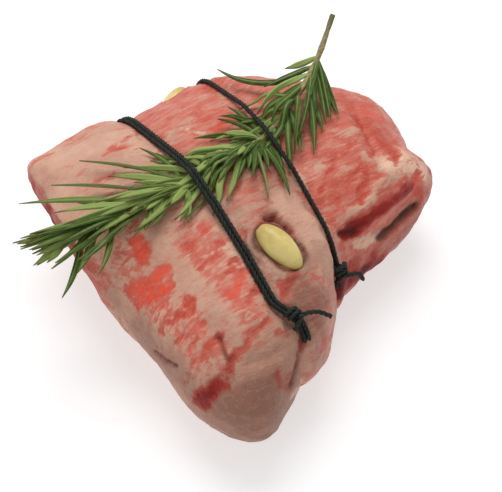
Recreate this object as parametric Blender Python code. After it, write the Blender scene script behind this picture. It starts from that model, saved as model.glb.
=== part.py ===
"""A small boned lamb joint, rolled and tied with two rounds of twine.

A sprig of rosemary is held under the twine and two garlic cloves are pushed into slits.
+X runs along the roll, +Y across it and +Z up. The joint lies on its flat underside at Z = 0.
Sizes are in millimetres until a mesh is made, where MM turns them into metres.
"""

import math
import random

import bmesh
import bpy
from mathutils import Vector
from mathutils.bvhtree import BVHTree

MM = 0.001

# The joint's outline seen from above, read along each side at even steps
NEAR_SIDE = (-95, -95, -80, -71, -55, -42, -37, -33, -28)
FAR_SIDE = (70, 71, 74, 75, 76, 77, 64, 46, 28)
LEFT_END = (-54, -56, -55, -57, -63, -61, -61)
RIGHT_END = (90, 95, 89, 91, 92, 89, 84)
MIDDLE_X = (RIGHT_END[3] + LEFT_END[3]) / 2
HALF_LENGTH = (RIGHT_END[3] - LEFT_END[3]) / 2
PLAN_SQUARENESS = 4.5
FLAP_SQUARENESS = 18

# How the sides turn over: the flap at the far left is high and sharp edged
EDGE_ROUNDNESS = 2.5
UNDER_ROUNDNESS = 2.1
FLAP_ROUNDNESS = 4.5
FLAP_UNDER_ROUNDNESS = 1.5
WAIST_HEIGHT = 27
FLAP_WAIST_RISE = 16
CROWN_HEIGHT = 64
SUNK_BELOW_BASE = 6

# Each lump: centre, its reach along X, Y and Z, and its height
LUMPS = (
    ((-6, -8, 70), (26, 46, 60), 6.0),
    ((54, 6, 70), (22, 34, 60), 5.0),
    ((80, 14, 58), (18, 20, 24), 4.0),
    ((-46, 74, 70), (28, 24, 18), -10.0),
    ((2, -58, 46), (12, 10, 14), 3.0),
    ((20, -38, 58), (6, 16, 12), 3.0),
    ((66, -34, 50), (26, 10, 8), 2.5),
    ((62, -36, 22), (24, 10, 10), 2.0),
    ((-34, -58, 40), (16, 24, 30), 2.0),
    ((1, -69, 22), (9, 11, 18), 2.0),
)

# Each crease: its two ends, its width and its depth
CREASES = (
    ((84, -28, 38), (46, -42, 38), 4.5, 4.5),
    ((70, 8, 64), (64, -14, 62), 5.0, 3.0),
    ((92, -4, 50), (80, -10, 56), 5.0, 2.5),
    ((-52, -38, 14), (-42, -38, 26), 3.5, 2.0),
    ((6, -26, 70), (3, -34, 66), 4.0, 3.0),
)

# The twine
TWINE_X = (-11.5, 27)
TWINE_SLANT = (0.02, 0.04)
TWINE_BITE = 3.2
TWINE_BITE_NEAR = 5.0
TWINE_BITE_WIDTH = 4.6
TWINE_ROOM_UNDER = 4.2
TWINE_PULL_WIDTH = 14
STRAND_RADIUS = 1.05
STRANDS = (2, 1)
TWINE_POINTS = 44
KNOT_PLACES = ((-63, 53), (-45, 42))
STEM_SIDE = 34
GAP = 0.45

# The rosemary: the stem's way from its cut end, which stands up off the joint
STEM_PATH = (
    (75, 36, 92),
    (62, 28, 79),
    (49, 21, 73),
    (27, 13, 66),
    (6, 6, 72),
    (-12, 6, 67),
    (-45, 5, 68),
    (-72, 10, 65),
)
STEM_RADIUS = 1.3
NEEDLE_WIDTH = 3.2
PRESSED_ROOM = 2.2
PRESSED_WIDTH = 7
NEEDLE_THICKNESS = 1.3
# Each whorl: how far it is from the cut end, then the angle, length and lift of its needles
WHORLS = (
    (15, (36, 26, -12), (-66, 14, -9), (46, 23, -14), (12, 28, -8)),
    (18, (22, 28, -9), (-42, 22, -6), (34, 25, -12)),
    (21, (-68, 43, -8), (16, 34, -4), (-28, 30, -2), (28, 25, -10)),
    (25, (30, 35, -8), (-21, 25, -5), (-8, 24, 0), (40, 24, -10)),
    (32, (30, 30, 4), (-50, 24, 0), (8, 34, 8)),
    (39, (34, 33, 0), (-32, 26, 2), (-12, 30, 6), (46, 25, 0)),
    (47, (40, 32, 0), (-58, 24, 0), (12, 30, 7), (-25, 28, 3)),
    (55, (-97, 23, 2), (58, 22, 0), (24, 26, 4), (-70, 20, 4)),
    (58, (55, 34, 2), (-48, 27, 0), (46, 20, 3), (-15, 34, 5)),
    (64, (48, 31, 0), (33, 16, 3), (-36, 30, 2), (5, 32, 6)),
    (70, (-36, 24, 0), (-11, 26, 4), (10, 26, 2), (30, 28, 0)),
    (78, (-40, 30, 0), (22, 32, 2), (-6, 36, 5), (38, 27, 0)),
    (86, (-30, 36, 1), (31, 28, 0), (6, 36, 5), (-52, 26, 0)),
    (94, (-46, 46, 0), (44, 22, 0), (-14, 40, 4), (16, 34, 2)),
    (97, (-74, 28, 0), (56, 20, 0), (-36, 32, 3), (-2, 42, 6)),
    (105, (-8, 60, 2), (-38, 47, 0), (24, 25, 0), (34, 18, 0)),
    (113, (-7, 52, 3), (-30, 52, 2), (12, 40, 0), (44, 15, 0)),
    (121, (-40, 22, 0), (-2, 44, 2), (22, 32, 0), (-9, 42, 4)),
    (129, (20, 33, 0), (-12, 24, 0), (-4, 38, 3), (52, 26, -4)),
    (137, (50, 21, -5), (-6, 34, 1), (2, 32, 2), (30, 26, -2)),
    (144, (52, 28, -9), (0, 24, 0), (16, 21, 0), (-8, 20, 0)),
    (150, (-4, 20, 1), (24, 16, -4), (8, 15, -3), (38, 14, -2)),
)

# The garlic: each clove's middle, the way its root points, its length and its width
CLOVES = (
    ("garlic_clove_near", (1, -39, 64), (-0.3, 0.87, 0.39), 23, 13),
    ("garlic_clove_far", (14.5, 67, 43.5), (0.8, 0.45, 0.2), 20, 11),
)

# Loop cuts of the cage along each of its sides, with closer ones at the twine
CUTS_ALONG = 24
CUTS_ACROSS = 26
CUTS_UP = 9
TWINE_CUTS = (-5.5, -2.5, 0, 2.5, 5.5)

COLOURS = {
    "lamb_joint": (0.62, 0.26, 0.22, 1),
    "rosemary_sprig": (0.12, 0.22, 0.06, 1),
    "twine_left": (0.02, 0.03, 0.02, 1),
    "twine_right": (0.02, 0.03, 0.02, 1),
    "garlic_clove_near": (0.75, 0.66, 0.38, 1),
    "garlic_clove_far": (0.75, 0.66, 0.38, 1),
}


def clear_scene():
    for obj in list(bpy.data.objects):
        bpy.data.objects.remove(obj)


def smooth_step(low, high, value):
    t = min(1.0, max(0.0, (value - low) / (high - low)))
    return t * t * (3 - 2 * t)


def bell(distance, width):
    return math.exp(-((distance / width) ** 2))


def along(values, position):
    """Reads a row of evenly spaced values at a position from -1 to 1, on a smooth curve."""
    spot = (position + 1) / 2 * (len(values) - 1)
    i = min(len(values) - 2, max(0, int(spot)))
    t = spot - i
    before, start = values[max(0, i - 1)], values[i]
    end, after = values[i + 1], values[min(len(values) - 1, i + 2)]
    rise_out, rise_in = (end - before) / 2, (after - start) / 2
    return (
        start * (2 * t**3 - 3 * t**2 + 1)
        + rise_out * (t**3 - 2 * t**2 + t)
        + end * (3 * t**2 - 2 * t**3)
        + rise_in * (t**3 - t**2)
    )


def twine_x(index, y):
    """Where each round of twine crosses the joint, a little askew."""
    turn = 7.0 * smooth_step(-54, -70, y) if index == 0 else 0.0
    return TWINE_X[index] + TWINE_SLANT[index] * y + turn


def bare_place(u, v, w, flap):
    """Where a point on the rounded cage lies on the joint's bare form."""
    left, right = along(LEFT_END, v), along(RIGHT_END, v)
    near, far = along(NEAR_SIDE, u), along(FAR_SIDE, u)
    waist = WAIST_HEIGHT + FLAP_WAIST_RISE * flap
    reach = CROWN_HEIGHT - waist if w > 0 else waist + SUNK_BELOW_BASE
    x = left + (right - left) * (u + 1) / 2
    y = near + (far - near) * (v + 1) / 2
    return Vector((x, y, waist + w * reach))


def cage_place(u, v, w):
    """Maps a point of the cage, a cube from -1 to 1, to the joint's bare form.

    Away from the joint's ends a point keeps its place along the roll, or its place
    beside the twine, so that the cage's close cuts follow each round of twine.
    """
    flap = smooth_step(0.0, 0.35, v) * smooth_step(-0.3, -0.8, u)
    squareness = PLAN_SQUARENESS + (FLAP_SQUARENESS - PLAN_SQUARENESS) * flap
    roundness = UNDER_ROUNDNESS + (FLAP_UNDER_ROUNDNESS - UNDER_ROUNDNESS) * flap
    if w > 0:
        roundness = EDGE_ROUNDNESS + (FLAP_ROUNDNESS - EDGE_ROUNDNESS) * flap

    def reach(u, v, w):
        plan = (abs(u) ** squareness + abs(v) ** squareness) ** (1 / squareness)
        return (plan**roundness + abs(w) ** roundness) ** (1 / roundness)

    scale = 1 / reach(u, v, w)
    bare_x = bare_place(u * scale, v * scale, w * scale, flap).x
    kept = smooth_step(1.0, 0.45, abs(u))
    wanted_x = bare_x + (MIDDLE_X + HALF_LENGTH * u - bare_x) * kept
    u *= scale
    for _ in range(4):
        low, high = 0.4, 1.0
        for _ in range(24):
            scale = (low + high) / 2
            if reach(u, v * scale, w * scale) > 1:
                high = scale
            else:
                low = scale
        place = bare_place(u, v * scale, w * scale, flap)
        for index, x in enumerate(TWINE_X):
            place.x -= (twine_x(index, place.y) - x) * bell(wanted_x - x, TWINE_PULL_WIDTH)
        u += (wanted_x - place.x) / HALF_LENGTH
    return bare_place(u, v * scale, w * scale, flap)


def from_segment(place, start, end):
    """Distance of a place from the line between two others."""
    start, end = Vector(start), Vector(end)
    way = end - start
    t = min(1.0, max(0.0, (place - start).dot(way) / way.length_squared))
    return (place - start - way * t).length


def relief(place, normal):
    """Moves a place on the bare form to where the twine, the lumps and the creases put it."""
    x, y, z = place
    rise = 0.0
    for centre, reach, height in LUMPS:
        away = math.hypot(*((p - c) / r for p, c, r in zip(place, centre, reach)))
        rise += height * bell(away, 1.0)
    for start, end, width, depth in CREASES:
        rise -= depth * bell(from_segment(place, start, end), width)
    rise += 0.7 * math.sin(x / 9 + y / 17) * math.sin(y / 11 - z / 13)
    lowest = -SUNK_BELOW_BASE
    for index in range(2):
        beside = abs(x - twine_x(index, y))
        bite = TWINE_BITE + (TWINE_BITE_NEAR - TWINE_BITE) * smooth_step(-30, -60, y)
        rise -= bite * bell(beside, TWINE_BITE_WIDTH)
        room = TWINE_ROOM_UNDER + SUNK_BELOW_BASE
        lowest = max(lowest, room * smooth_step(6.5, 3.0, beside) - SUNK_BELOW_BASE)
    moved = place + normal * rise
    moved.z = max(moved.z, lowest)
    return moved


def cuts_along():
    """Cuts along X, even but for closer ones at each round of twine."""
    close = [(x + step - MIDDLE_X) / HALF_LENGTH for x in TWINE_X for step in TWINE_CUTS]
    even = [-1 + 2 * i / CUTS_ALONG for i in range(1, CUTS_ALONG)]
    return close + [e for e in even if min(abs(e - c) for c in close) > 0.03]


def in_scene(name, mesh):
    obj = bpy.data.objects.new(name, mesh)
    bpy.context.scene.collection.objects.link(obj)
    return obj


def finish_mesh(cage, name):
    bmesh.ops.scale(cage, vec=(MM, MM, MM), verts=cage.verts)
    bmesh.ops.recalc_face_normals(cage, faces=cage.faces)
    mesh = bpy.data.meshes.new(name)
    cage.to_mesh(mesh)
    cage.free()
    return in_scene(name, mesh)


def make_joint():
    cage = bmesh.new()
    bmesh.ops.create_cube(cage, size=2.0)
    across = [-1 + 2 * i / CUTS_ACROSS for i in range(1, CUTS_ACROSS)]
    up = [-1 + 2 * i / CUTS_UP for i in range(1, CUTS_UP)]
    for axis, places in enumerate((cuts_along(), across, up)):
        normal = Vector((axis == 0, axis == 1, axis == 2))
        for place in places:
            everything = cage.verts[:] + cage.edges[:] + cage.faces[:]
            bmesh.ops.bisect_plane(cage, geom=everything, plane_co=normal * place, plane_no=normal)
    for vert in cage.verts:
        vert.co = cage_place(*vert.co)
    cage.normal_update()
    moved = [relief(v.co, v.normal) for v in cage.verts]
    for vert, place in zip(cage.verts, moved):
        vert.co = place
    bottom = bmesh.ops.bisect_plane(
        cage,
        geom=cage.verts[:] + cage.edges[:] + cage.faces[:],
        dist=0.01,
        plane_co=(0, 0, 0),
        plane_no=(0, 0, 1),
        clear_inner=True,
    )
    rim = [e for e in bottom["geom_cut"] if isinstance(e, bmesh.types.BMEdge)]
    bmesh.ops.holes_fill(cage, edges=rim)
    return finish_mesh(cage, "lamb_joint")


def apply_boolean(obj, other, operation, solver="EXACT"):
    """Joins or cuts a mesh with another one, or with all in a collection, which then go."""
    boolean = obj.modifiers.new("boolean", "BOOLEAN")
    boolean.operation = operation
    boolean.solver = solver
    others = [other]
    if isinstance(other, bpy.types.Collection):
        boolean.operand_type = "COLLECTION"
        boolean.collection = other
        others = list(other.objects)
    else:
        boolean.object = other
    bpy.context.view_layer.update()
    graph = bpy.context.evaluated_depsgraph_get()
    mesh = bpy.data.meshes.new_from_object(obj.evaluated_get(graph))
    obj.modifiers.remove(boolean)
    obj.data = mesh
    for used in others:
        bpy.data.objects.remove(used)


def keep_largest(obj):
    """Drops what a union leaves loose or sealed inside, so that one closed body is left."""
    work = bmesh.new()
    work.from_mesh(obj.data)
    unseen = set(work.verts)
    islands = []
    while unseen:
        edge = [unseen.pop()]
        island = set(edge)
        while edge:
            for link in edge.pop().link_edges:
                for vert in link.verts:
                    if vert in unseen:
                        unseen.remove(vert)
                        island.add(vert)
                        edge.append(vert)
        islands.append(island)
    largest = max(islands, key=len)
    loose = [vert for island in islands if island is not largest for vert in island]
    bmesh.ops.delete(work, geom=loose, context="VERTS")
    work.to_mesh(obj.data)
    work.free()


def clove_mesh(name, middle, root_way, length, width, extra=0.0):
    """A clove: a rounded drop, blunt at the root and pointed at the tip."""
    cage = bmesh.new()
    bmesh.ops.create_uvsphere(cage, u_segments=14, v_segments=10, radius=1.0)
    turn = Vector(root_way).to_track_quat("Z", "X")
    for vert in cage.verts:
        x, y, z = vert.co
        slim = 1.0 - 0.2 * smooth_step(0.2, -1.0, z)
        side = width / 2 + extra
        place = Vector((x * side * slim, y * side * 0.88 * slim, z * (length / 2 + extra)))
        vert.co = turn @ place + Vector(middle)
    return finish_mesh(cage, name)


def tree_of(*objects):
    """A search tree in millimetres over the faces of these meshes."""
    points, faces = [], []
    for obj in objects:
        start = len(points)
        points += [v.co / MM for v in obj.data.vertices]
        faces += [[start + i for i in p.vertices] for p in obj.data.polygons]
    return BVHTree.FromPolygons(points, faces)


def keep_clear(place, tree, room):
    """Moves a place off a surface until it has this much room."""
    place = Vector(place)
    for _ in range(4):
        nearest, normal, _, _ = tree.find_nearest(place)
        short = room - (place - nearest).dot(normal)
        if short > 0:
            place += normal * short
    return place


def press_down(place, tree):
    """Near the twine, brings a place down to the little room that the twine leaves."""
    nearest, normal, _, _ = tree.find_nearest(place)
    room = (place - nearest).dot(normal)
    for index in range(2):
        near = bell(place.x - twine_x(index, place.y), PRESSED_WIDTH)
        most = PRESSED_ROOM / max(near, 0.01)
        if room > most:
            place = place - normal * (room - most)
            room = most
    return place


def tube(name, points, radii, closed=False, profile=None, sides=1):
    """A round tube through these points, or one swept with a profile curve."""
    curve = bpy.data.curves.new(name, "CURVE")
    curve.dimensions = "3D"
    curve.twist_mode = "MINIMUM"
    if profile:
        curve.bevel_mode = "OBJECT"
        curve.bevel_object = profile
    else:
        curve.bevel_depth = MM
        curve.bevel_resolution = sides
    curve.use_fill_caps = True
    spline = curve.splines.new("POLY")
    spline.points.add(len(points) - 1)
    for knot, place, radius in zip(spline.points, points, radii):
        knot.co = (*(Vector(place) * MM), 1)
        knot.radius = radius
    spline.use_cyclic_u = closed
    holder = in_scene(name, curve)
    bpy.context.view_layer.update()
    graph = bpy.context.evaluated_depsgraph_get()
    mesh = bpy.data.meshes.new_from_object(holder.evaluated_get(graph))
    bpy.data.objects.remove(holder)
    work = bmesh.new()
    work.from_mesh(mesh)
    bmesh.ops.remove_doubles(work, verts=work.verts, dist=0.00001)
    bmesh.ops.recalc_face_normals(work, faces=work.faces)
    work.to_mesh(mesh)
    work.free()
    return in_scene(name, mesh)


def stem_points(tree):
    """The stem lies over the joint, and its bare end stands up off it."""
    points = [Vector(place) for place in STEM_PATH]
    fine = []
    for i in range(len(points) - 1):
        steps = 3
        for step in range(steps):
            t = step / steps
            before = points[max(0, i - 1)]
            after = points[min(len(points) - 1, i + 2)]
            rise_out = (points[i + 1] - before) / 2
            rise_in = (after - points[i]) / 2
            fine.append(
                points[i] * (2 * t**3 - 3 * t**2 + 1)
                + rise_out * (t**3 - 2 * t**2 + t)
                + points[i + 1] * (3 * t**2 - 2 * t**3)
                + rise_in * (t**3 - t**2)
            )
    fine.append(points[-1])
    return [keep_clear(press_down(place, tree), tree, STEM_RADIUS + 0.6) for place in fine]


def on_line(points, distance):
    """The place and the direction this far along a line of points, as seen from above."""
    for start, end in zip(points, points[1:]):
        step = (end - start).xy.length
        if distance <= step:
            return start + (end - start) * (distance / step), (end - start).normalized()
        distance -= step
    return points[-1], (points[-1] - points[-2]).normalized()


def needle_points(stem, distance, angle, length, lift, tree):
    """A needle leaves the stem steeply, bends along it and lies on the joint or clear of it."""
    base, way = on_line(stem, distance)
    flat = Vector((way.x, way.y, 0)).normalized()
    turn = math.radians(angle)
    points = [base]
    place = base
    steps = 4
    for i in range(steps):
        t = i / (steps - 1)
        bend = turn * (1.25 - 0.35 * t)
        step = Vector(
            (
                flat.x * math.cos(bend) - flat.y * math.sin(bend),
                flat.x * math.sin(bend) + flat.y * math.cos(bend),
                lift * 1.5 * (1 - 0.7 * t) / length,
            )
        )
        place = place + step * (length / steps)
        place = keep_clear(press_down(place, tree), tree, NEEDLE_WIDTH / 2 + 0.5)
        points.append(place)
    return points


def needle_mesh(index, points):
    """A slim three-sided needle with a point at each end."""
    cage = bmesh.new()
    rings = []
    count = len(points)
    for i, place in enumerate(points):
        ahead = points[min(count - 1, i + 1)] - points[max(0, i - 1)]
        side = ahead.cross(Vector((0, 0, 1))).normalized()
        up = side.cross(ahead).normalized()
        if i == count - 1:
            rings.append([cage.verts.new(place)])
            continue
        size = (0.55, 1.0, 1.0, 0.8)[i]
        half, thick = NEEDLE_WIDTH / 2 * size, NEEDLE_THICKNESS * size
        corners = (side * half, up * thick * 0.6, side * -half)
        ring = [cage.verts.new(place + corner) for corner in corners]
        rings.append(ring)
    for low, high in zip(rings, rings[1:]):
        for a in range(3):
            b = (a + 1) % 3
            if len(high) == 1:
                cage.faces.new((low[a], low[b], high[0]))
            else:
                cage.faces.new((low[a], low[b], high[b], high[a]))
    cage.faces.new(rings[0][::-1])
    return finish_mesh(cage, f"needle_{index}")


def make_sprig(joint):
    tree = tree_of(joint)
    stem = stem_points(tree)
    radii = [STEM_RADIUS * (0.8 + 0.2 * min(1, i / 4)) for i in range(len(stem))]
    sprig = tube("rosemary_sprig", stem, radii)
    chance = random.Random(7)
    needles = bpy.data.collections.new("needles")
    index = 0
    for distance, *row in WHORLS:
        for angle, length, lift in row:
            spot = distance + chance.uniform(-1.2, 1.2)
            points = needle_points(stem, spot, angle, length, lift, tree)
            obj = needle_mesh(index, points)
            bpy.context.scene.collection.objects.unlink(obj)
            needles.objects.link(obj)
            index += 1
    bpy.context.scene.collection.children.link(needles)
    apply_boolean(sprig, needles, "UNION", "MANIFOLD")
    keep_largest(sprig)
    bpy.data.collections.remove(needles)
    return sprig


def taut_loop(index, joint_tree, sprig_tree, room):
    """The shortest loop round the joint and the stem, moved out by the twine's own half."""
    middle_y, middle_z = 0.0, 30.0
    outer = []
    for step in range(300):
        angle = 2 * math.pi * step / 300
        way = Vector((0, math.cos(angle), math.sin(angle)))
        reach = 0.0
        y = middle_y + way.y * 60
        for _ in range(3):
            middle = Vector((twine_x(index, y), middle_y, middle_z))
            y = joint_tree.ray_cast(middle + way * 200, -way)[0].y
        for side in (-1.0, -0.5, 0.0, 0.5, 1.0):
            middle.x = twine_x(index, y) + side * (STRANDS[index] * STRAND_RADIUS + 0.2)
            for tree in (joint_tree, sprig_tree):
                hit = tree.ray_cast(middle + way * 200, -way)[0]
                if hit and (tree == joint_tree or hit.y < STEM_SIDE):
                    reach = max(reach, (hit - middle).dot(way))
        outer.append((middle_y + way.y * reach, middle_z + way.z * reach))
    rim = convex_rim(outer)
    rim = offset_rim(rim, room)
    return [Vector((twine_x(index, y), y, z)) for y, z in even_steps(rim, TWINE_POINTS)]


def convex_rim(points):
    """The convex outline of flat points, anticlockwise."""
    points = sorted(points)

    def half(run):
        kept = []
        for p in run:
            while len(kept) > 1 and turn_of(kept[-2], kept[-1], p) <= 0:
                kept.pop()
            kept.append(p)
        return kept[:-1]

    return half(points) + half(points[::-1])


def turn_of(a, b, c):
    return (b[0] - a[0]) * (c[1] - a[1]) - (b[1] - a[1]) * (c[0] - a[0])


def offset_rim(rim, room):
    """Moves a convex outline out, keeping its corners round."""
    moved = []
    count = len(rim)
    for i, (y, z) in enumerate(rim):
        before, after = rim[i - 1], rim[(i + 1) % count]
        for a, b in ((before, (y, z)), ((y, z), after)):
            dy, dz = b[0] - a[0], b[1] - a[1]
            size = math.hypot(dy, dz)
            moved.append((y + dz / size * room, z - dy / size * room))
    return convex_rim(moved)


def even_steps(rim, count):
    """Points at even steps round a closed outline."""
    closed = rim + rim[:1]
    lengths = [math.dist(a, b) for a, b in zip(closed, closed[1:])]
    total = sum(lengths)
    found = []
    for i in range(count):
        wanted = total * i / count
        for a, b, size in zip(closed, closed[1:], lengths):
            if wanted <= size:
                t = wanted / size
                found.append((a[0] + (b[0] - a[0]) * t, a[1] + (b[1] - a[1]) * t))
                break
            wanted -= size
    return found


def strand_profile(strands):
    """The outline of the twine's section: one round strand, or two side by side."""
    curve = bpy.data.curves.new("strand_profile", "CURVE")
    curve.dimensions = "2D"
    spline = curve.splines.new("POLY")
    sides = 8 if strands == 1 else 12
    spline.points.add(sides - 1)
    for i, knot in enumerate(spline.points):
        angle = 2 * math.pi * (i + 0.5) / sides
        across, up = math.cos(angle), math.sin(angle)
        if strands == 2:
            across = across * 1.96
            up = up * (1.0 - 0.42 * bell(across, 0.6))
        knot.co = (across * STRAND_RADIUS * MM, up * STRAND_RADIUS * MM, 0, 1)
    spline.use_cyclic_u = True
    profile = in_scene("strand_profile", curve)
    profile.hide_render = True
    return profile


def make_twine(index, name, joint, sprig):
    loop = taut_loop(index, tree_of(joint), tree_of(sprig), STRAND_RADIUS + GAP)
    tree = tree_of(joint, sprig)
    profile = strand_profile(STRANDS[index])
    twine = tube(name, loop, [1] * len(loop), closed=True, profile=profile)
    bpy.data.objects.remove(profile)
    knot_y, knot_z = KNOT_PLACES[index]
    spot = min(range(len(loop)), key=lambda i: math.dist(loop[i].yz, (knot_y, knot_z)))
    add_knot(twine, loop, spot, tree, index)
    return twine


def add_knot(twine, loop, spot, tree, index):
    """A hitch round the twine with two short ends."""
    middle = loop[spot]
    way = (loop[(spot + 1) % len(loop)] - loop[spot - 1]).normalized()
    side = Vector((1, 0, 0))
    out = side.cross(way).normalized()
    if out.dot(middle - Vector((middle.x, 0, 30))) < 0:
        out = -out
    knots = bpy.data.collections.new("knots")
    turns = []
    for i in range(19):
        angle = 2 * math.pi * i / 8
        wrap = side * math.cos(angle) * 2.6 + out * (math.sin(angle) * 1.7 + 1.9)
        turns.append(middle + wrap + way * (i / 18 - 0.5) * 4.6)
    down = way if way.z < 0 else -way
    ends = (
        [turns[-1], turns[-1] + side * 3 + out * 1.2 - down * 1, turns[-1] + side * 7 + out * 0.6],
        [turns[0], turns[0] + down * 4 - side * 1 + out, turns[0] + down * 7 - side * 5],
    )
    ends[0].append(ends[0][-1] + side * 3 + down * 2.5 - out)
    ends[1].append(ends[1][-1] + down * 2 - side * 3 - out)
    for number, points in enumerate((turns, *ends)):
        points = [keep_clear(p, tree, STRAND_RADIUS + GAP) for p in points]
        sizes = [STRAND_RADIUS * 0.97] * len(points)
        obj = tube(f"knot_{number}", points, sizes)
        bpy.context.scene.collection.objects.unlink(obj)
        knots.objects.link(obj)
    bpy.context.scene.collection.children.link(knots)
    apply_boolean(twine, knots, "UNION", "MANIFOLD")
    keep_largest(twine)
    bpy.data.collections.remove(knots)


def colour(obj):
    material = bpy.data.materials.new(obj.name)
    material.use_nodes = True
    shader = material.node_tree.nodes["Principled BSDF"]
    shader.inputs["Base Color"].default_value = COLOURS[obj.name]
    shader.inputs["Roughness"].default_value = 0.6
    obj.data.materials.clear()
    obj.data.materials.append(material)


def centre_on_origin(objects):
    """Puts the middle of the whole part's footprint over the origin."""
    places = [vert.co for obj in objects for vert in obj.data.vertices]
    for axis in (0, 1):
        middle = (min(p[axis] for p in places) + max(p[axis] for p in places)) / 2
        for place in places:
            place[axis] -= middle


def main():
    clear_scene()
    joint = make_joint()
    cloves = []
    for name, middle, way, length, width in CLOVES:
        pocket = clove_mesh("pocket", middle, way, length, width, extra=0.5)
        apply_boolean(joint, pocket, "DIFFERENCE")
        cloves.append(clove_mesh(name, middle, way, length, width))
    sprig = make_sprig(joint)
    left = make_twine(0, "twine_left", joint, sprig)
    right = make_twine(1, "twine_right", joint, sprig)
    parts = (joint, *cloves, sprig, left, right)
    centre_on_origin(parts)
    for obj in parts:
        colour(obj)


main()
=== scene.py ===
import math
import random

import bmesh
import bpy
import numpy as np
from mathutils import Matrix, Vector, kdtree, noise
from mathutils.bvhtree import BVHTree


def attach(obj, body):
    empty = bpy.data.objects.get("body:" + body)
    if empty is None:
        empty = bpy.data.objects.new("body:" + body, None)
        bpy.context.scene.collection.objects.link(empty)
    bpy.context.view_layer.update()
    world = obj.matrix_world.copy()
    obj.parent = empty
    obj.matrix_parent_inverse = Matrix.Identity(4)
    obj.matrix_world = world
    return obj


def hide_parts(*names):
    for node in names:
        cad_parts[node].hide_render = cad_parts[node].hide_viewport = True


# Everything is laid out on a bench in millimetres, and benchShift moves it to the frame's origin
mm = 0.001
benchShift = (-2.8353, 6.3155, 0.0)

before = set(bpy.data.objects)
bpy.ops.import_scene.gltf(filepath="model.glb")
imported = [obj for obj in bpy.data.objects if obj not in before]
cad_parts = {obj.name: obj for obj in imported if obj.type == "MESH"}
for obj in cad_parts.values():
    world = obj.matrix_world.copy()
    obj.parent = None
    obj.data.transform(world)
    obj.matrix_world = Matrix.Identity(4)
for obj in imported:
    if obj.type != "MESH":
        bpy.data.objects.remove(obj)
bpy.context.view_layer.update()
print("Frame loaded with", len(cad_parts), "nodes")

view = {
    "turn": -32,  # degrees round the joint
    "height": 50,  # degrees above the board
    "distance": 750,
    "lens": 129.1,
    "sensor": 36,
    "aim": (7.8, -7.2, 28.4),  # on the bench
    "picture": (502, 492),  # the size that pixels are counted in
}


# Numbers and places

def ease(low, high, value):
    t = np.clip((value - low) / (high - low), 0.0, 1.0)
    return t * t * (3 - 2 * t)


def bell(distance, width):
    return np.exp(-((distance / width) ** 2))


def benchPoints(mesh):
    flat = np.empty(len(mesh.vertices) * 3)
    mesh.vertices.foreach_get("co", flat)
    return flat.reshape(-1, 3) / mm - np.array(benchShift)


def placePoints(mesh, points):
    moved = (np.asarray(points, float) + np.array(benchShift)) * mm
    mesh.vertices.foreach_set("co", moved.ravel())
    mesh.update()


def normalsOf(mesh):
    flat = np.empty(len(mesh.vertices) * 3)
    mesh.vertex_normals.foreach_get("vector", flat)
    return flat.reshape(-1, 3)


def grain(points, size, seed=0, stretch=(1, 1, 1)):
    spots = points / size * np.array(stretch) + seed * 17.3
    return np.array([noise.noise(spot) for spot in spots.tolist()])


def treeOf(name):  # for finding where a line meets a solid, or what is nearest on it
    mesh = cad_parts[name].data
    points = [Vector(place) for place in benchPoints(mesh)]
    return BVHTree.FromPolygons(points, [tuple(face.vertices) for face in mesh.polygons])


def smoothPath(points, steps):
    ends = [points[0], *points, points[-1]]
    found = []
    for i in range(len(points) - 1):
        before, start, end, after = ends[i : i + 4]
        for step in range(steps):
            t = step / steps
            found.append(
                start * (2 * t**3 - 3 * t**2 + 1)
                + (end - before) / 2 * (t**3 - 2 * t**2 + t)
                + end * (3 * t**2 - 2 * t**3)
                + (after - start) / 2 * (t**3 - t**2)
            )
    return found + [points[-1]]


def viewAxes():
    turn, height = math.radians(view["turn"]), math.radians(view["height"])
    flat = math.cos(height)
    back = Vector((math.sin(turn) * flat, -math.cos(turn) * flat, math.sin(height)))
    right = Vector((math.cos(turn), math.sin(turn), 0))
    return right, back.cross(right), back


def onMeat(pixel):  # where a pixel of the picture falls on the meat
    right, up, back = viewAxes()
    eye = Vector(view["aim"]) + back * view["distance"]
    wide, high = view["picture"]
    focal = view["lens"] / view["sensor"] * wide
    way = (right * (pixel[0] - wide / 2) - up * (pixel[1] - high / 2)) / focal - back
    hit = meatTree.ray_cast(eye, way.normalized())[0]
    if hit is None:
        raise ValueError(f"pixel {pixel} misses the meat")
    return hit


# Materials

def newMaterial(name, roughness, **settings):
    material = bpy.data.materials.new(name)
    material.use_nodes = True
    tree = material.node_tree
    shader = tree.nodes["Principled BSDF"]
    shader.inputs["Roughness"].default_value = roughness
    for socket, value in settings.items():
        shader.inputs[socket.replace("_", " ")].default_value = value
    return material, tree, shader


def srgb(red, green, blue):  # a colour as seen, 0 to 255, made linear
    parts = [c / 255 for c in (red, green, blue)]
    return (*[c / 12.92 if c < 0.04045 else ((c + 0.055) / 1.055) ** 2.4 for c in parts], 1)


def paints(piece):  # the colours in a piece's dictionary, ready for a shader
    return {name: srgb(*parts) for name, parts in piece["colours"].items()}


def feed(tree, socket, value):
    if isinstance(value, bpy.types.NodeSocket):
        tree.links.new(value, socket)
    else:
        socket.default_value = value


def painted(tree, name):
    node = tree.nodes.new("ShaderNodeAttribute")
    node.attribute_name = name
    return node.outputs["Fac"]


def placed(tree, turn=(0, 0, 0), stretch=(1, 1, 1)):
    where = tree.nodes.new("ShaderNodeTexCoord").outputs["Object"]
    mapping = tree.nodes.new("ShaderNodeMapping")
    mapping.inputs["Rotation"].default_value = [math.radians(a) for a in turn]
    mapping.inputs["Scale"].default_value = stretch
    tree.links.new(where, mapping.inputs["Vector"])
    return mapping.outputs["Vector"]


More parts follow.
